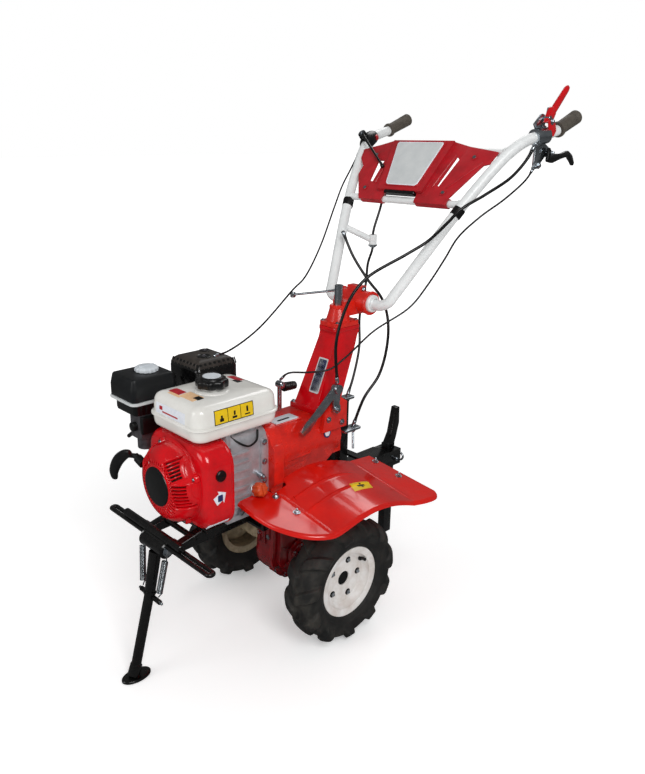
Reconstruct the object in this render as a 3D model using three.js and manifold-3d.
// Walk-behind mini cultivator, millimetres. While it is drawn, +X is forward (engine and bumper end),
// +Y is the operator's left, +Z is up, the wheel axle is the line x = 0 and the ground is z = 0.
import * as THREE from 'three';
import { mergeVertices } from 'three/addons/utils/BufferGeometryUtils.js';
import Module from 'manifold-3d';

const wasm = await Module();
wasm.setup();

// ---------------------------------------------------------------- driving dimensions
const gap = 0.3;                      // clearance between pieces that touch

const tyreRadius = 168;               // 3.50-6 pneumatic tyre over its lugs
const tyreHalfWidth = 47;
const treadRadius = 157;              // tyre between its lugs
const rimRadius = 93;                 // over the flanges of the 6 inch rim
const rimHalfWidth = 34;
const wheelOffset = 205;              // middle of each wheel from the machine's centre line
const axleRadius = 13;                // hexagon shaft, over its corners

const crankHeight = 478;              // engine crankshaft above the ground
const crankcaseBase = 372;
const shroudRear = 276;               // shroud and recoil starter along X
const shroudFront = 352;
const recoilFront = 404;
const bellFront = 150;                // face that the engine bolts to
const bellRear = 112;

const driveCaseRadius = 76;           // round the axle
const driveGearRadius = 54;
const pinionRadius = 30;
const pinionHeight = tyreRadius + driveGearRadius + pinionRadius + gap;

const swivelX = -181;                 // upright axis that the handlebar head turns on
const flangeHeight = 766;
const tiltX = -250;                   // cross tube that the handlebar tilts on
const tiltZ = 822;
const barRadius = 14;                 // handlebar tube

const standPivot = new THREE.Vector3(413, 0, 334);
const stakeX = -412;

// ---------------------------------------------------------------- shape helpers
const point = (x, y, z) => new THREE.Vector3(x, y, z);
const mirrored = (p) => point(p.x, -p.y, p.z);

// A closed three.js geometry as a solid that can be joined and cut.
function solid(geometry) {
  const bare = geometry.clone();
  bare.deleteAttribute('normal');
  bare.deleteAttribute('uv');
  const shared = mergeVertices(bare, 1e-4);
  const places = Float32Array.from(shared.attributes.position.array);
  const corners = Uint32Array.from(shared.index.array);
  const made = new wasm.Manifold(new wasm.Mesh({ numProp: 3, vertProperties: places, triVerts: corners }));
  if (made.volume() > 0) return made;
  return new wasm.Manifold(new wasm.Mesh({ numProp: 3, vertProperties: places, triVerts: corners.reverse() }));
}

const join = (...pieces) => pieces.reduce((whole, piece) => whole.add(piece));
const cut = (whole, ...tools) => tools.reduce((rest, tool) => rest.subtract(tool), whole);

function box(x0, x1, y0, y1, z0, z1) {
  const block = new THREE.BoxGeometry(x1 - x0, y1 - y0, z1 - z0);
  return solid(block.translate((x0 + x1) / 2, (y0 + y1) / 2, (z0 + z1) / 2));
}

// A round bar or cone from one point to another.
function rod(from, to, radius, sides = 16, endRadius = radius) {
  const along = to.clone().sub(from);
  const bar = new THREE.CylinderGeometry(endRadius, radius, along.length(), sides);
  bar.translate(0, along.length() / 2, 0);
  bar.applyQuaternion(new THREE.Quaternion().setFromUnitVectors(point(0, 1, 0), along.normalize()));
  return solid(bar.translate(from.x, from.y, from.z));
}

// A round tube through a list of points.
function tube(points, radius, sides = 12, steps = points.length * 3) {
  const section = new THREE.Shape().absarc(0, 0, radius, 0, 2 * Math.PI);
  const path = new THREE.CatmullRomCurve3(points, false, 'centripetal');
  const settings = { steps, extrudePath: path, curveSegments: sides / 2, bevelEnabled: false };
  return solid(new THREE.ExtrudeGeometry(section, settings));
}

function outline(...corners) {
  return new THREE.Shape(corners.map(([u, v]) => new THREE.Vector2(u, v)));
}

function roundedOutline(u0, u1, v0, v1, radius) {
  const shape = new THREE.Shape();
  shape.absarc(u1 - radius, v0 + radius, radius, -Math.PI / 2, 0);
  shape.absarc(u1 - radius, v1 - radius, radius, 0, Math.PI / 2);
  shape.absarc(u0 + radius, v1 - radius, radius, Math.PI / 2, Math.PI);
  shape.absarc(u0 + radius, v0 + radius, radius, Math.PI, 1.5 * Math.PI);
  return shape;
}

// An outline with thickness: its two axes are (y, z) for a slab along x, (x, z) along y, (x, y) along z.
function slab(shape, axis, from, to, curveSegments = 3) {
  const block = new THREE.ExtrudeGeometry(shape, { depth: to - from, bevelEnabled: false, curveSegments });
  const [x, y, z] = [point(1, 0, 0), point(0, 1, 0), point(0, 0, 1)];
  const turn = new THREE.Matrix4();
  if (axis === 'x') turn.makeBasis(y, z, x).setPosition(from, 0, 0);
  if (axis === 'y') turn.makeBasis(x, z, y.clone().negate()).setPosition(0, to, 0);
  if (axis === 'z') turn.makeBasis(x, y, z).setPosition(0, 0, from);
  return solid(block.applyMatrix4(turn));
}

// A profile of [radius, distance along the axis] turned about an axis through a centre.
function turned(profile, axis, centre, sides = 24) {
  const ring = new THREE.LatheGeometry(profile.map(([r, h]) => new THREE.Vector2(r, h)), sides);
  if (axis === 'x') ring.rotateZ(-Math.PI / 2);
  if (axis === 'z') ring.rotateX(Math.PI / 2);
  return solid(ring.translate(centre.x, centre.y, centre.z));
}

// Copies of a point round an axis along y.
function ringOfPoints(centre, radius, count, phase = 0) {
  return Array.from({ length: count }, (_, i) => {
    const angle = phase + (2 * Math.PI * i) / count;
    return point(centre.x + radius * Math.cos(angle), centre.y, centre.z + radius * Math.sin(angle));
  });
}

// ---------------------------------------------------------------- finishes
const finish = (color, roughness, metalness = 0) => new THREE.MeshStandardMaterial({ color, roughness, metalness });
const finishes = {
  redPaint: finish('#d8161c', 0.25),
  castingRed: finish('#e62a1c', 0.35),
  darkRed: finish('#8e1016', 0.3),
  blackPaint: finish('#101012', 0.35),
  whitePaint: finish('#e4e6e4', 0.35),
  tankPaint: finish('#e6e4dc', 0.25),
  aluminium: finish('#a8a6ab', 0.45, 0.9),
  zinc: finish('#b9c2c8', 0.3, 1),
  blackPlastic: finish('#1b1d20', 0.45),
  redPlastic: finish('#c62b36', 0.5),
  orangePlastic: finish('#e8602a', 0.45),
  tyreRubber: finish('#222221', 0.85),
  gripRubber: finish('#4a4740', 0.8),
};

// ---------------------------------------------------------------- wheels and axle
const axleCentre = point(0, 0, tyreRadius);

function axleShaft() {
  const reach = wheelOffset - 8;
  return rod(point(0, -reach, tyreRadius), point(0, reach, tyreRadius), axleRadius, 6);
}

// Pressed steel rim with a dished disc and the hub tube that slides on the hexagon shaft.
function rim(side) {
  const boreRadius = axleRadius + gap;
  const mouthRadius = 19;
  const hubRadius = 24;
  const hubEnd = -108;
  const discFace = 11;
  const barrel = 76;
  const profile = [
    [boreRadius, hubEnd], [boreRadius, -6], [mouthRadius, -6], [mouthRadius, discFace + 3],
    [hubRadius, discFace + 3], [hubRadius, discFace],
    [60, discFace], [74, 22], [barrel, 31], [rimRadius, rimHalfWidth], [rimRadius, rimHalfWidth - 4],
    [80, 25], [80, -25], [rimRadius, 4 - rimHalfWidth], [rimRadius, -rimHalfWidth], [barrel, -31],
    [barrel, 12], [60, discFace - 3], [hubRadius, discFace - 3], [hubRadius, hubEnd], [boreRadius, hubEnd],
  ];
  const shell = turned(profile.map(([r, h]) => [r, side * h]), 'y', point(0, side * wheelOffset, tyreRadius));
  const bolts = ringOfPoints(point(0, 0, tyreRadius), 50, 5, 0.6).map((p) => {
    const back = point(p.x, side * (wheelOffset + discFace - 1), p.z);
    return rod(back, back.clone().setY(side * (wheelOffset + discFace + 5)), 7, 6);
  });
  return join(shell, ...bolts);
}

function tyre(side) {
  const profile = [
    [80.4, -24.6], [80.4, 24.6], [90, 24.6], [97, 36], [118, tyreHalfWidth], [142, tyreHalfWidth - 2],
    [treadRadius, 28], [treadRadius, -28], [142, 2 - tyreHalfWidth], [118, -tyreHalfWidth], [97, -36],
    [90, -24.6], [80.4, -24.6],
  ];
  const centre = point(0, side * wheelOffset, tyreRadius);
  const carcass = turned(profile, 'y', centre);
  const lugCount = 11;
  const lugs = Array.from({ length: 2 * lugCount }, (_, i) => {
    const flank = i % 2 ? 1 : -1;
    const bar = new THREE.BoxGeometry(18, 40, 20);
    bar.rotateZ(flank * 0.6);
    bar.translate(flank * 10, flank * 23, tyreRadius - 12.2);
    bar.rotateY((i * Math.PI) / lugCount);
    return solid(bar.translate(centre.x, centre.y, centre.z));
  });
  return join(carcass, ...lugs);
}

// ---------------------------------------------------------------- final drive
function driveCaseOutline(inset, top = 388 - Math.max(inset, 0)) {
  const shape = new THREE.Shape();
  const front = 62 - inset;
  const rear = -62 + inset;
  shape.moveTo(front, top);
  shape.lineTo(rear, top);
  shape.lineTo(rear, tyreRadius + 44);
  shape.absarc(0, tyreRadius, driveCaseRadius - inset, Math.PI * 0.83, Math.PI * 2.09);
  return shape;
}

const caseSplit = 18;
const caseHalfWidth = 42;

function finalDriveCase() {
  const shell = slab(driveCaseOutline(0), 'y', -caseHalfWidth, caseSplit, 7);
  const hollow = slab(driveCaseOutline(8), 'y', -caseHalfWidth + 8, caseSplit + 1, 7);
  const boss = rod(axleCentre.clone().setY(-58), axleCentre.clone().setY(-caseHalfWidth + 1), 32);
  const bore = rod(axleCentre.clone().setY(-80), axleCentre.clone().setY(80), axleRadius + 2);
  const ribs = [-28, -6].map((y) => box(62, 77, y - 3, y + 3, 200, 330));
  return cut(join(cut(shell, hollow), boss, ...ribs), bore);
}

function finalDriveCover() {
  const plate = slab(driveCaseOutline(-4), 'y', caseSplit + gap, 28, 7);
  const dome = slab(driveCaseOutline(12), 'y', 27, caseHalfWidth, 7);
  const hollow = slab(driveCaseOutline(18), 'y', caseSplit - 1, caseHalfWidth - 6, 7);
  const boss = rod(axleCentre.clone().setY(30), axleCentre.clone().setY(58), 32);
  const bore = rod(axleCentre.clone().setY(0), axleCentre.clone().setY(80), axleRadius + 2);
  const places = [[57, 350], [58, 262], [-57, 350], [-57, 262], [-63, 132], [-29, 102], [29, 102], [63, 132]];
  const bolts = places.map(([x, z]) => rod(point(x, 27, z), point(x, 34, z), 6, 6));
  return cut(join(cut(join(plate, dome), hollow), boss, ...bolts), bore);
}

function gearWheel(centre, radius, bore, y0, y1) {
  const disc = rod(centre.clone().setY(y0), centre.clone().setY(y1), radius, 28);
  return cut(disc, rod(centre.clone().setY(y0 - 1), centre.clone().setY(y1 + 1), bore, 12));
}

// ---------------------------------------------------------------- gearbox and bell housing
const crankLine = (x) => point(x, 0, crankHeight);

function gearboxCase() {
  const barrel = rod(crankLine(-138), crankLine(bellRear - gap), 64, 20, 76);
  const top = slab(outline([-150, 500], [bellRear - gap, 500], [104, 556], [20, 556], [-20, 548], [-150, 548]), 'y', -56, 56);
  const waist = box(-84, 94, -caseHalfWidth, caseHalfWidth, 388 + gap, 470);
  const belly = slab(outline([-120, 440], [-84, 416], [94, 416], [105, 446], [105, 500], [-120, 500]), 'y', -60, 60);
  const sector = slab(outline([-150, 505], [-60, 505], [-70, 552], [-128, 590], [-150, 575]), 'y', 57, 70);
  const hollow = rod(crankLine(-120), crankLine(bellRear + 1), 54, 20);
  const slot = box(24, 90, -8, 30, 550, 560);
  const rearPad = box(-160, -130, -40, 40, 420, 530);
  return cut(join(barrel, top, waist, belly, sector, rearPad), hollow, slot);
}

function bellHousing() {
  const flange = slab(roundedOutline(-104, 108, 388, 580, 46), 'x', bellRear, bellFront);
  const lug = slab(roundedOutline(84, 120, 432, 540, 14), 'x', bellRear + 8, bellFront);
  const opening = rod(crankLine(bellRear - 1), crankLine(bellFront + 1), 62, 24);
  const bolts = [[-80, 556], [84, 556], [-80, 412], [86, 412]].map(([y, z]) => {
    return rod(point(bellRear - 7, y, z), point(bellRear + 1, y, z), 7, 6);
  });
  return cut(join(flange, lug, ...bolts), opening);
}

function clutchArm() {
  const y = -50;
  const post = rod(point(-16, y, 551), point(-16, y, 622), 6, 12);
  const eye = rod(point(-18, y - 11, 620), point(-18, y + 11, 620), 9, 14);
  const boot = rod(point(-30, y, 610), point(-70, y, 607), 13, 14, 11);
  const link = rod(point(-18, y, 612), point(-34, y, 610), 5, 8);
  return join(post, eye, boot, link);
}

const gearLeverPivot = point(-100, 76, 566);

function gearLever() {
  const lower = slab(outline([13, 520], [24, 532], [8, 548], [-24, 572], [-38, 560], [-6, 528]), 'y', 73, 79);
  const upper = slab(outline([-24, 572], [-96, 632], [-112, 628], [-110, 612], [-40, 556]), 'y', 73, 79);
  const eye = rod(point(-104, 66, 620), point(-104, 86, 620), 13, 16);
  const shank = slab(outline([-88, 560], [-112, 560], [-116, 618], [-92, 618]), 'y', 73, 79);
  const stud = rod(gearLeverPivot.clone().setY(70 + gap), gearLeverPivot.clone().setY(84), 9, 12);
  return join(lower, upper, shank, eye, stud);
}

// ---------------------------------------------------------------- engine
function crankcase() {
  const body = slab(roundedOutline(-86, 92, crankcaseBase, 584, 26), 'x', bellFront + gap, shroudRear - gap);
  const coverFlange = slab(roundedOutline(-92, 98, crankcaseBase + 4, 578, 34), 'x', bellFront + gap, 172);
  const foot = box(bellFront + 10, shroudRear - gap, -95, 95, crankcaseBase, crankcaseBase + 12);
  const cylinder = box(186, shroudRear - gap, -150, -80, 470, 572);
  const ribs = [408, 430, 452, 474, 496, 518, 540].map((z) => box(208, 272, 90, 97, z - 3, z + 3));
  const posts = [[180, 70], [262, 74]].map(([x, y]) => rod(point(x, y, 560), point(x, y, 592), 9, 12));
  const bore = rod(crankLine(bellFront - 1), crankLine(shroudRear + 20), 15, 20);
  const fillerBore = rod(dipstickSeat, dipstickTip, 11.5, 14);
  return cut(join(body, coverFlange, foot, cylinder, ...ribs, ...posts), bore, fillerBore);
}

// The filler opening leans out of the crankcase side, low and to the rear.
const dipstickSeat = point(192, 60, 424);
const dipstickTip = point(192, 128, 448);

function oilDipstick() {
  const along = dipstickTip.clone().sub(dipstickSeat).normalize();
  const at = (distance) => dipstickSeat.clone().addScaledVector(along, distance);
  const stem = rod(at(10), at(60), 11, 14);
  const cap = rod(at(48), at(72), 16, 8);
  return join(cut(stem), cap);
}

function cylinderHead() {
  const head = box(192, 274, -176, -150 - gap, 476, 566);
  const fins = [488, 504, 520, 536, 552].map((z) => box(186, 280, -170, -150 - gap, z - 2, z + 2));
  const valveCover = slab(roundedOutline(200, 266, 484, 558, 12), 'y', -204, -175);
  return join(head, valveCover, ...fins);
}

function shroudOutline(inset) {
  return roundedOutline(-118 + inset, 123 - inset, 378 + inset, 584 - inset, 52 - inset);
}

function engineShroud() {
  const shell = slab(shroudOutline(0), 'x', shroudRear, shroudFront, 4);
  const fanRoom = rod(crankLine(shroudRear + 6), crankLine(shroudFront + 1), 91, 20);
  const bore = rod(crankLine(shroudRear), crankLine(300), 16, 20);
  return cut(shell, fanRoom, bore);
}

function recoilCover() {
  const wall = 4;
  const start = shroudFront + gap;
  const profile = [
    [97, start], [97, 370], [91, 386], [79, 397], [64, recoilFront - 2], [0, recoilFront - 2],
    [0, recoilFront - 2 - wall], [62, recoilFront - 2 - wall], [76, 392], [87, 383], [93, 369],
    [93, start], [97, start],
  ];
  const shell = turned(profile, 'x', crankLine(0));
  const disc = rod(crankLine(recoilFront - 3), crankLine(recoilFront + 4), 48, 20, 45);
  const guide = rod(point(386, -84, 500), point(386, -108, 508), 11, 14);
  return join(shell, disc, guide);
}

function flywheel() {
  const shaft = rod(crankLine(118), crankLine(372), 14, 16);
  const wheel = rod(crankLine(300), crankLine(318), 88, 28);
  const blades = Array.from({ length: 8 }, (_, i) => {
    const blade = new THREE.BoxGeometry(22, 4, 40).translate(328, 0, 64).rotateX((i * Math.PI) / 4);
    return solid(blade.translate(0, 0, crankHeight));
  });
  const hubDisc = rod(crankLine(316), crankLine(338), 46, 20);
  return join(shaft, wheel, hubDisc, ...blades);
}

function pullHandle() {
  const grip = tube([point(404, -196, 430), point(408, -190, 452), point(406, -170, 486), point(402, -140, 512),
    point(398, -122, 520)], 10, 10, 8);
  const stem = rod(point(386, -116, 511), point(400, -146, 508), 6, 10);
  const ferrule = rod(point(386, -110, 508.6), point(386, -118, 511.4), 8, 12);
  return join(grip, stem, ferrule);
}

function fuelTank() {
  const [x0, x1, y] = [106, 361, 105];
  const skirt = (inset, z0, z1, radius) => slab(roundedOutline(x0 + inset, x1 - inset, inset - y, y - inset, radius), 'z', z0, z1);
  const flange = skirt(0, 622, 628, 36);
  const lower = join(skirt(8, 604, 623, 32), skirt(18, 592 + gap, 605, 28));
  const upper = join(skirt(7, 627, 655, 32), skirt(16, 654, 668, 28), skirt(32, 667, 678, 22));
  const neck = rod(point(capCentre.x, capCentre.y, 670), point(capCentre.x, capCentre.y, 688), 26, 20);
  return join(flange, lower, upper, neck);
}

const capCentre = point(246, 8, 700);

function fuelCap() {
  const { x, y } = capCentre;
  const rimDisc = rod(point(x, y, 688 + gap), point(x, y, 708), 38, 12);
  const crown = rod(point(x, y, 707), point(x, y, 713), 31, 20, 28);
  return join(rimDisc, crown);
}

const cleaner = { x0: 248, x1: 376, y0: -246, y1: -132, top: 692 };

function airCleaner() {
  const { x0, x1, y0, y1, top } = cleaner;
  const cover = slab(roundedOutline(x0, x1, y0, y1, 16), 'z', 634, top - 6);
  const crown = slab(roundedOutline(x0 + 6, x1 - 6, y0 + 6, y1 - 6, 12), 'z', top - 7, top);
  const band = slab(roundedOutline(x0 - 3, x1 + 3, y0 - 3, y1 + 3, 16), 'z', 626, 635);
  const base = slab(roundedOutline(x0 + 8, x1 - 8, y0 + 8, y1 - 6, 14), 'z', 596, 627);
  return join(cover, crown, band, base);
}

const knobCentre = point(302, -186, 0);

function airCleanerKnob() {
  const { x, y } = knobCentre;
  return rod(point(x, y, cleaner.top + gap), point(x, y, cleaner.top + 15), 29, 12, 22);
}

function carburettor() {
  const body = box(296, 350, -196, -146, 530, 596 - gap);
  const bowl = rod(point(322, -172, 500), point(322, -172, 531), 22, 16);
  const intake = box(281, 297, -190, -152, 540, 572);
  return join(body, bowl, intake);
}

function muffler() {
  const [x0, x1, y0, y1] = [76, 206, -236, -107];
  const guard = slab(roundedOutline(x0, x1, y0, y1, 14), 'z', 604, 700);
  const crown = slab(roundedOutline(x0 + 8, x1 - 8, y0 + 8, y1 - 8, 12), 'z', 699, 708);
  const pipe = rod(point(214, -172, 590), point(190, -172, 612), 15, 16);
  const port = rod(point(214, -172, 580), point(214, -172, 592), 17, 16);
  const vents = Array.from({ length: 7 }, (_, i) => box(x1 - 6, x1 + 1, y0 + 22 + i * 14, y0 + 30 + i * 14, 676, 692));
  return cut(join(guard, crown, pipe, port), ...vents);
}

function engineSwitch() {
  const face = 123 + gap;
  const barrel = rod(point(313, face, 520), point(313, face + 6, 520), 13, 20);
  return join(barrel, box(301, 325, face + 5, face + 11, 517, 523));
}

// ---------------------------------------------------------------- frame, bumper and stand
function engineFrame() {
  const plate = box(118, 330, -84, 84, 362, crankcaseBase - gap);
  const rails = [-1, 1].map((side) => {
    const shape = outline([118, 340], [392, 332], [392, 352], [330, 366], [118, 366]);
    return slab(shape, 'y', side * 58 - 11, side * 58 + 11);
  });
  const tail = box(70 + gap, 130, -caseHalfWidth, caseHalfWidth, 340, 380);
  return join(plate, ...rails, tail);
}

// Narrow closed loop of round bar across the front, with a stiffening tube behind it.
function bumperBar() {
  const [front, rear, reach, z] = [414, 399, 202, 346];
  const bar = (x, y0, y1) => rod(point(x, y0, z), point(x, y1, z), 5.5, 8);
  const end = (side) => {
    const middle = (front + rear) / 2;
    return tube([point(rear, side * reach, z), point(middle, side * (reach + 6), z), point(front, side * reach, z)], 5.5, 8, 4);
  };
  const overlap = 3;
  const bars = [front, rear].map((x) => bar(x, -reach - overlap, reach + overlap));
  const stiffener = rod(point(408, -140, 360), point(408, 100, 360), 10, 16);
  const pivotTube = rod(standPivot.clone().setY(-46), standPivot.clone().setY(46), 18, 20);
  const gussets = [-58, 58].map((y) => box(392 + gap, 412, y - 10, y + 10, 334, 360));
  const saddle = box(404, 420, -44, 44, 344, 358);
  return join(...bars, end(-1), end(1), stiffener, pivotTube, saddle, ...gussets);
}

function standLeg() {
  const knee = point(438, 0, 212);
  const ankle = point(490, 0, 22);
  const top = standPivot.clone().add(point(4, 0, -19));
  const upper = rod(top, knee, 15, 16, 13);
  const lower = rod(knee.clone().add(point(-3, 0, 12)), ankle, 12, 14);
  const horns = rod(point(436, -40, 204), point(436, 40, 204), 6, 12);
  const toe = slab(footOutline(), 'z', 0, 8);
  const shoe = rod(point(486, 0, 36), point(497, 0, 12), 14, 14);
  return join(upper, lower, horns, toe, shoe);
}

function footOutline() {
  const shape = new THREE.Shape();
  shape.absellipse(488, 0, 38, 22, 0, 2 * Math.PI);
  return shape;
}

// Each spring runs from the pivot's end down to the horn on the leg.
function standSpring(side) {
  const top = point(419, side * 51, 331);
  const foot = point(436, side * 33, 210);
  const coil = rod(top.clone().lerp(foot, 0.18), top.clone().lerp(foot, 0.86), 8, 14);
  const hooks = rod(top.clone().lerp(foot, 0.01), top.clone().lerp(foot, 0.94), 2, 8);
  return join(coil, hooks);
}

// ---------------------------------------------------------------- fenders
const fenderThickness = 2.4;
const fenderInner = 100;
const fenderOuter = 330;
const archFront = 145;                // creases where the arch over the wheel begins and ends
const archRear = -135;
const droop = 0.165;                  // fall of the sheet towards its outer edge

// Height of the sheet above the inner edge's line, before it falls away outwards.
function fenderHeight(x) {
  const [front, rear] = [430, 415];
  if (x > archFront) return front - 0.057 * (x - archFront);
  if (x < archRear) return rear - 0.09 * (archRear - x);
  const share = (x - archRear) / (archFront - archRear);
  return rear + (front - rear) * share + 28 * Math.sin(Math.PI * share);
}

function fender(side) {
  const [front, rear] = [250, -245];
  const stations = Array.from({ length: 23 }, (_, i) => rear + ((front - rear) * i) / 22);
  const upper = stations.map((x) => [x, fenderHeight(x)]);
  const lower = upper.map(([x, z]) => [x, z - fenderThickness]).reverse();
  const depth = fenderOuter + 20;
  const block = new THREE.ExtrudeGeometry(outline(...upper, ...lower), { depth, bevelEnabled: false });
  // The outline's (x, z) goes out along y and falls by the droop.
  const lean = new THREE.Matrix4().set(1, 0, 0, 0, 0, 0, side, 0, 0, 1, -droop, droop * fenderInner, 0, 0, 0, 1);
  const arched = solid(block.applyMatrix4(lean));
  const plan = new THREE.Shape();
  plan.moveTo(rear + 26, side * fenderInner);
  plan.lineTo(105, side * fenderInner);
  plan.lineTo(112, side * 123);
  plan.lineTo(158, side * 123);
  plan.lineTo(front, side * fenderInner);
  plan.quadraticCurveTo(252, side * 180, 238, side * 222);
  plan.quadraticCurveTo(200, side * 318, 125, side * (fenderOuter - 4));
  plan.bezierCurveTo(60, side * fenderOuter, -90, side * (fenderOuter - 12), -140, side * (fenderOuter - 6));
  plan.bezierCurveTo(-190, side * (fenderOuter + 4), -236, side * (fenderOuter + 6), -238, side * 306);
  plan.lineTo(rear + 26, side * 180);
  return arched.intersect(slab(plan, 'z', 340, 470, 8));
}

// Flat bar bent to run just under both sheets at one place along the machine.
function fenderBracket(x, halfWidth, middle) {
  const thickness = 7;
  const reach = 262;
  const knee = fenderInner + 8;
  const under = (y) => fenderHeight(x - halfWidth) - droop * (y - fenderInner) - fenderThickness - 2.6;
  const half = [[reach, under(reach)], [knee, under(knee)], [knee - thickness, under(knee)], [knee - thickness, middle]];
  const lower = [[knee, middle - thickness], [knee, under(knee) - thickness], [reach, under(reach) - thickness]];
  const left = half.concat([[0, middle]]);
  const leftBack = [[0, middle - thickness]].concat(lower);
  const flip = (list) => list.map(([y, z]) => [-y, z]).reverse();
  return slab(outline(...left, ...flip(half), ...flip(lower), ...leftBack), 'x', x - halfWidth, x + halfWidth);
}

// ---------------------------------------------------------------- hitch and drag stake
function hitchFrame() {
  const plate = box(-190, -160 - gap, -40, 40, 300, 560);
  const foot = box(-190, -68, -30, 30, 300, 340);
  const arms = [-30, 24].map((y) => box(stakeX - 26, -170, y, y + 6, 296, 344));
  const web = box(-380, -185, -30, 30, 338, 346);
  const socket = cut(box(stakeX - 26, stakeX + 26, -30, 30, 296, 344), box(stakeX - 17, stakeX + 17, -13, 13, 280, 360));
  const pinBore = rod(point(stakeX, -60, 318), point(stakeX, 60, 318), 6.5, 14);
  return cut(join(plate, foot, ...arms, web, socket), pinBore);
}

function dragStake() {
  const blade = box(stakeX - 16, stakeX + 16, -12, 12, 62, 362);
  const finger = slab(outline([stakeX - 16, 355], [stakeX + 16, 355], [stakeX - 4, 392], [stakeX - 14, 440],
    [stakeX - 20, 470], [stakeX - 34, 470], [stakeX - 36, 420], [stakeX - 24, 376]), 'y', -10, 10);
  const holes = [258, 288, 318, 348].map((z) => rod(point(stakeX, -20, z), point(stakeX, 20, z), 6.5, 12));
  return cut(join(blade, finger), ...holes);
}

function hitchPin() {
  const shank = rod(point(stakeX, -44, 318), point(stakeX, 40, 318), 6, 12);
  const ring = tube([point(stakeX, 38, 318), point(stakeX, 54, 322), point(stakeX, 60, 334), point(stakeX, 50, 344)], 3, 8, 10);
  return join(shank, ring);
}

// ---------------------------------------------------------------- column and head
// The column leans back from the top of the gearbox to the flange.
function column() {
  const side = outline([-62, 556 + gap], [-145, 748], [-143, flangeHeight], [-227, flangeHeight], [-228, 748],
    [-216, 712], [-148, 556 + gap]);
  const wide = slab(side, 'y', -46, 46);
  const skin = outline([-43, 556], [43, 556], [31, 735], [33, 748], [33, 770], [-33, 770], [-33, 748], [-31, 735]);
  const foot = box(-150, -58, -54, 54, 548 + gap, 562);
  return join(wide.intersect(slab(skin, 'x', -300, 0)), foot);
}

function handlebarHead() {
  const collar = slab(roundedOutline(-230, -140, -37, 37, 16), 'z', flangeHeight + gap, 778, 3);
  const neck = rod(point(swivelX, 0, 776), point(swivelX, 0, 818), 34, 16, 22);
  const bridge = box(-250, swivelX, -22, 22, 790, 830);
  const clamp = rod(point(tiltX, -54, tiltZ), point(tiltX, 54, tiltZ), 30, 22);
  const bore = rod(point(tiltX, -60, tiltZ), point(tiltX, 60, tiltZ), 23 + gap, 24);
  const ears = box(-262, -238, -24, 24, 846, 864);
  const pinBore = rod(point(swivelX, 0, 800), point(swivelX, 0, 830), 12, 16);
  return cut(join(collar, neck, bridge, clamp, ears), bore, pinBore);
}

// Upright pin with the thin rod that holds the throttle cable out to the side.
function swivelPin() {
  const shank = rod(point(swivelX, 0, 802), point(swivelX, 0, 874), 11.5, 16);
  const arm = rod(point(swivelX, -8, 858), point(-130, -124, 834), 4, 8);
  const eye = rod(point(-130, -124, 828), point(-130, -124, 840), 6.5, 10);
  return join(shank, arm, eye);
}

// ---------------------------------------------------------------- handlebar
// Points of the left tube; the right one is its mirror image.
const armEnd = point(-268, 112, 846);
const lowerBar = point(-423, 200, 1078);
const upperBar = point(-535, 252, 1207);
const armRise = armEnd.clone().sub(lowerBar).normalize().multiplyScalar(18).add(armEnd);
const gripStart = point(-688, 291, 1263);
const gripEnd = point(-785, 290, 1299);

function handlebarBase() {
  const core = rod(point(tiltX, -63, tiltZ), point(tiltX, 63, tiltZ), 23, 24);
  const arms = [1, -1].map((side) => tube([point(tiltX, side * 56, tiltZ), point(tiltX, side * 86, tiltZ - 1),
    armRise.clone().setY(side * armRise.y), armEnd.clone().setY(side * armEnd.y)], barRadius, 12, 8));
  return join(core, ...arms);
}

function tubeRoute(side) {
  const start = armEnd.clone().addScaledVector(lowerBar.clone().sub(armEnd).normalize(), 1.5);
  const route = [start, lowerBar, upperBar, point(-580, 271, 1237), point(-632, 285, 1250), gripStart];
  return side > 0 ? route : route.map(mirrored);
}

const sideTube = (side) => tube(tubeRoute(side), barRadius, 12, 18);
const sideBore = (side) => tube(tubeRoute(side), barRadius + 0.8, 12, 18);

const shiftEye = point(-405, -86, 964);

// The right tube also carries the welded stub that guides the shift cable.
function rightTube() {
  const { x, y, z } = shiftEye;
  const stub = rod(point(-369, -168, 997), point(x + 2, y - 6, z), 9, 10);
  const eye = rod(point(x, y, z - 14), point(x, y, z + 14), 11, 12);
  return cut(join(sideTube(-1), stub, eye), rod(point(x, y, z - 30), point(x, y, z + 30), 6, 10));
}

function crossbar(end) {
  const bar = rod(point(end.x, -end.y, end.z), point(end.x, end.y, end.z), 10, 12);
  return cut(bar, sideBore(1), sideBore(-1)).decompose().sort((a, b) => b.volume() - a.volume())[0];
}

function grip(side) {
  const place = (p) => (side > 0 ? p : mirrored(p));
  const along = gripEnd.clone().sub(gripStart).normalize();
  const from = gripStart.clone().addScaledVector(along, 3);
  const collar = rod(place(from), place(from.clone().addScaledVector(along, 8)), 21, 18);
  const sleeve = rod(place(from), place(gripEnd), 17, 18, 19);
  return join(collar, sleeve);
}

// Moulded panel between the crossbars. Its outline is (y, distance up the slope from the lower bar).
const slope = upperBar.clone().sub(lowerBar).setY(0);
const slopeUp = slope.clone().normalize();
const slopeOut = point(slopeUp.z, 0, -slopeUp.x);

function onPanel(shape, depth, lift) {
  const block = new THREE.ExtrudeGeometry(shape, { depth, bevelEnabled: false, curveSegments: 4 });
  const frame = new THREE.Matrix4().makeBasis(point(0, 1, 0), slopeUp, slopeOut);
  const origin = lowerBar.clone().setY(0).addScaledVector(slopeOut, lift);
  return solid(block.applyMatrix4(frame.setPosition(origin)));
}

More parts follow.
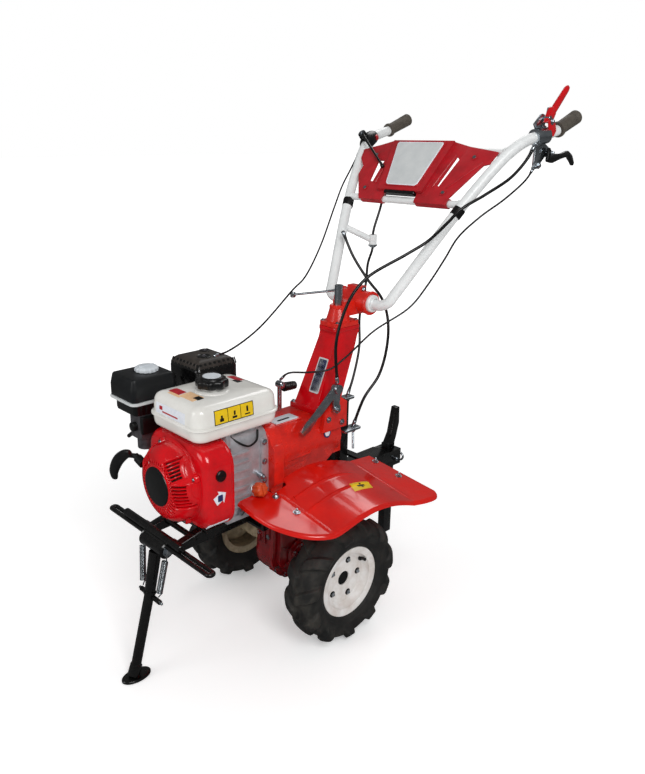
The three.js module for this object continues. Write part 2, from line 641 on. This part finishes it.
function consolePanel() {
  const sheet = outline([-145, -14], [-64, -14], [-60, 16], [50, 16], [54, -14], [158, -14], [158, 8], [208, 116], [224, 122], [232, 160], [137, 176], [66, 195],
    [-128, 195], [-174, 178], [-232, 160], [-224, 128], [-198, 99], [-198, 69]);
  const raised = outline([-64, 27], [52, 27], [66, 178], [-104, 178]);
  const hood = outline([-84, 15], [72, 15], [88, 186], [-124, 186]);
  const rightSlot = outline([100, 46], [108, 42], [126, 132], [114, 142]);
  const leftSlot = outline([-140, 48], [-128, 46], [-128, 122], [-150, 122]);
  const body = join(onPanel(sheet, 5, 11), onPanel(hood, 14, 13), onPanel(raised, 4, 26));
  return cut(body, onPanel(rightSlot, 60, -10), onPanel(leftSlot, 60, -10));
}

// ---------------------------------------------------------------- hand controls
const clutchPivot = point(-640, 286, 1292);
const reversePivot = point(-664, 290, 1206);

// Plated clamp on the left tube with ears above and below for the two levers.
function leverPerch() {
  const middle = point(-622, 283, 1248);
  const along = point(-0.96, 0.24, 0.13).normalize();
  const ends = [-22, 22].map((d) => middle.clone().addScaledVector(along, d));
  const clamp = rod(ends[0], ends[1], 21, 18);
  const upperEar = slab(outline([-612, 1264], [-600, 1278], [-632, 1304], [-650, 1300], [-652, 1284], [-636, 1262]), 'y', 272, 279);
  const lowerEar = slab(outline([-604, 1232], [-600, 1170], [-616, 1166], [-650, 1196], [-676, 1196], [-676, 1216],
    [-642, 1232]), 'y', 280, 286);
  const stops = rod(point(-604, 283, 1176), point(-604, 297, 1176), 8, 12);
  return cut(join(clamp, upperEar, lowerEar, stops), sideBore(1));
}

function clutchLever() {
  const pin = rod(clutchPivot.clone().setY(279 + gap), clutchPivot.clone().setY(298), 7, 12);
  const tip = point(-726, 290, 1374);
  const blade = rod(point(-646, 290, 1296), tip, 7, 10, 6);
  const heel = slab(outline([-630, 1284], [-650, 1282], [-664, 1306], [-652, 1318]), 'y', 284, 296);
  return join(pin, blade, heel);
}

function reverseLever() {
  const pin = rod(reversePivot.clone().setY(286 + gap), reversePivot.clone().setY(300), 6, 12);
  const blade = slab(outline([-654, 1222], [-650, 1184], [-676, 1180], [-716, 1190], [-752, 1196], [-772, 1182],
    [-786, 1170], [-792, 1178], [-776, 1200], [-752, 1212], [-716, 1204], [-672, 1204]), 'y', 288, 297);
  return join(pin, blade);
}

// Moulded housing over the right bend; the lever turns on its inner face.
const throttleHeart = point(-566, -265, 1231);
const throttleAxis = slopeOut;
const alongThrottleAxis = (distance) => throttleHeart.clone().addScaledVector(throttleAxis, distance);

function throttleHousing() {
  const shell = tube([point(-550, -259, 1219), throttleHeart, point(-585, -272, 1239), point(-606, -279, 1245)], 22, 12, 6);
  const boss = rod(throttleHeart, alongThrottleAxis(29), 13, 14);
  return cut(join(shell, boss), sideBore(-1));
}

function throttleLever() {
  const hubDisc = rod(alongThrottleAxis(30 + gap), alongThrottleAxis(38), 12, 14);
  const tip = point(-470, -121, 1169);
  return join(hubDisc, rod(alongThrottleAxis(34), tip, 4, 10), rod(tip, tip.clone().add(point(4, 8, -6)), 6, 10));
}

// ---------------------------------------------------------------- cables
const cableRoutes = {
  clutch_cable: [point(-572, 300, 1226), point(-545, 296, 1190), point(-500, 284, 1148), point(-430, 260, 1108),
    point(-368, 232, 1072), point(-346, 212, 1040), point(-316, 178, 994), point(-269, 150, 962),
    point(-184, 98, 907), point(-145, 84, 866), point(-116, 76, 807), point(-98, 74, 739), point(-104, 76, 636)],
  reverse_cable: [point(-592, 291, 1170), point(-560, 292, 1142), point(-500, 274, 1096), point(-432, 246, 1050),
    point(-392, 214, 1000), point(-370, 193, 944), point(-340, 168, 878), point(-293, 150, 822), point(-197, 110, 764),
    point(-130, 78, 700),
    point(-90, 60, 672), point(-50, 24, 664), point(-26, -28, 654), point(-18, -50, 632)],
  shift_cable: [point(-446, -88, 1086), point(-432, -88, 1046), shiftEye.clone().setZ(984), shiftEye.clone().setZ(940),
    point(-374, -74, 900), point(-346, -54, 850), point(-314, -44, 760), point(-290, -20, 680), point(-246, 0, 600),
    point(-215, 10, 560)],
  throttle_cable: [point(-539, -274, 1200), point(-490, -262, 1150), point(-441, -248, 1104), point(-396, -232, 1051),
    point(-295, -190, 941), point(-199, -150, 871), point(-130, -124, 848), point(6, -114, 760), point(105, -112, 721),
    point(150, -114, 716)],
  gear_cable: [point(-325, -130, 990), point(-328, -90, 924), point(-339, -40, 861), point(-342, 10, 817),
    point(-325, 50, 767), point(-313, 62, 697), point(-285, 62, 618), point(-233, 56, 560), point(-205, 44, 482)],
};
const cableRadius = { clutch_cable: 4, reverse_cable: 2.5, shift_cable: 3.5, throttle_cable: 2.5, gear_cable: 4 };

// ---------------------------------------------------------------- assembly
const machine = new THREE.Group();

function add(name, shape, material) {
  const { vertProperties, triVerts } = shape.getMesh();
  const geometry = new THREE.BufferGeometry();
  geometry.setAttribute('position', new THREE.BufferAttribute(vertProperties, 3));
  geometry.setIndex(new THREE.BufferAttribute(triVerts, 1));
  geometry.computeVertexNormals();
  const mesh = new THREE.Mesh(geometry, material);
  mesh.name = name;
  machine.add(mesh);
}

const { redPaint, castingRed, darkRed, blackPaint, whitePaint, tankPaint, aluminium, zinc } = finishes;
const { blackPlastic, redPlastic, orangePlastic, tyreRubber, gripRubber } = finishes;

add('axle_shaft', axleShaft(), zinc);
for (const [name, side] of [['left', 1], ['right', -1]]) {
  add(`${name}_rim`, rim(side), whitePaint);
  add(`${name}_tyre`, tyre(side), tyreRubber);
  add(`${name}_fender`, fender(side), redPaint);
  add(`${name}_stand_spring`, standSpring(side), zinc);
  add(`${name}_grip`, grip(side), gripRubber);
}
add('drive_gear', gearWheel(axleCentre, driveGearRadius, axleRadius + 1, -20, -4), aluminium);
add('pinion_gear', gearWheel(point(0, 0, pinionHeight), pinionRadius, 8, -20, -4), aluminium);
add('final_drive_case', finalDriveCase(), darkRed);
add('final_drive_cover', finalDriveCover(), darkRed);
add('gearbox_case', gearboxCase(), castingRed);
add('bell_housing', bellHousing(), castingRed);
add('clutch_arm', clutchArm(), zinc);
add('gear_lever', gearLever(), zinc);
add('crankcase', crankcase(), aluminium);
add('cylinder_head', cylinderHead(), aluminium);
add('flywheel', flywheel(), aluminium);
add('engine_shroud', engineShroud(), redPaint);
add('recoil_cover', recoilCover(), redPaint);
add('pull_handle', pullHandle(), blackPlastic);
add('fuel_tank', fuelTank(), tankPaint);
add('fuel_cap', fuelCap(), blackPlastic);
add('air_cleaner', airCleaner(), blackPlastic);
add('air_cleaner_knob', airCleanerKnob(), zinc);
add('carburettor', carburettor(), aluminium);
add('muffler', muffler(), blackPaint);
add('oil_dipstick', oilDipstick(), orangePlastic);
add('engine_switch', engineSwitch(), blackPlastic);
add('engine_frame', engineFrame(), blackPaint);
add('bumper_bar', bumperBar(), blackPaint);
add('stand_leg', standLeg(), blackPaint);
add('front_fender_bracket', fenderBracket(164, 12, 328), blackPaint);
add('rear_fender_bracket', fenderBracket(-202.5, 12, 400), blackPaint);
add('hitch_frame', hitchFrame(), blackPaint);
add('drag_stake', dragStake(), blackPaint);
add('hitch_pin', hitchPin(), zinc);
add('column', column(), redPaint);
add('handlebar_head', handlebarHead(), castingRed);
add('swivel_pin', swivelPin(), zinc);
add('handlebar_base', handlebarBase(), whitePaint);
add('left_handlebar_tube', sideTube(1), whitePaint);
add('right_handlebar_tube', rightTube(), whitePaint);
add('lower_crossbar', crossbar(lowerBar), whitePaint);
add('upper_crossbar', crossbar(upperBar), whitePaint);
add('console_panel', consolePanel(), redPlastic);
add('lever_perch', leverPerch(), zinc);
add('clutch_lever', clutchLever(), redPaint);
add('reverse_lever', reverseLever(), blackPaint);
add('throttle_housing', throttleHousing(), blackPlastic);
add('throttle_lever', throttleLever(), blackPlastic);
for (const [name, route] of Object.entries(cableRoutes)) {
  add(name, tube(route, cableRadius[name], 8), blackPlastic);
}

// The row's origin is the middle of the footprint, on the ground.
const bounds = new THREE.Box3().setFromObject(machine);
const centre = bounds.getCenter(new THREE.Vector3());
machine.position.set(-centre.x, -centre.y, -bounds.min.z);

export default machine;
